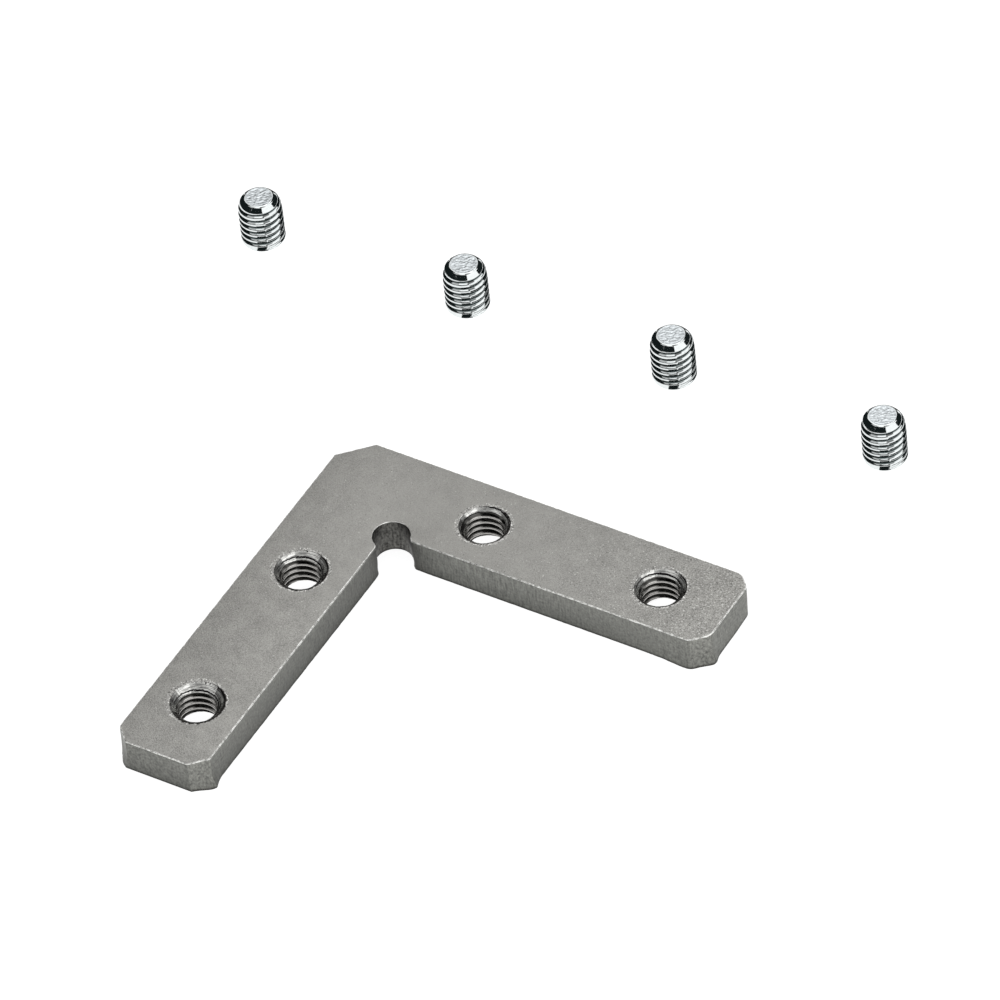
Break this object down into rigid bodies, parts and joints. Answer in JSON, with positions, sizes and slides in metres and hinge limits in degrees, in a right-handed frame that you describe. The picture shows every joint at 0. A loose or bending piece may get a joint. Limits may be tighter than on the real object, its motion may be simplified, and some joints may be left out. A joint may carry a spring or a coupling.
{
  "type": "horizontal corner connector",
  "caption": "L-shaped steel plate with countersunk tapped holes and its set screws, for joining slotted profiles at a flat corner.",
  "frame": {"origin": "where the centre lines of the two arms cross, on the underside of the plate", "axes": "+X along one arm, -Y along the other arm, +Z out of the plate's top face"},
  "size_m": [0.1002, 0.0946, 0.008],
  "materials": {
    "plate_steel": "matt blasted steel",
    "screw_zinc": "bright zinc plated"
  },
  "bodies": {
    "root": {"corner_plate": "plate_steel", "set_screw_1": "screw_zinc", "set_screw_2": "screw_zinc", "set_screw_3": "screw_zinc", "set_screw_4": "screw_zinc"}
  },
  "joints": []
}
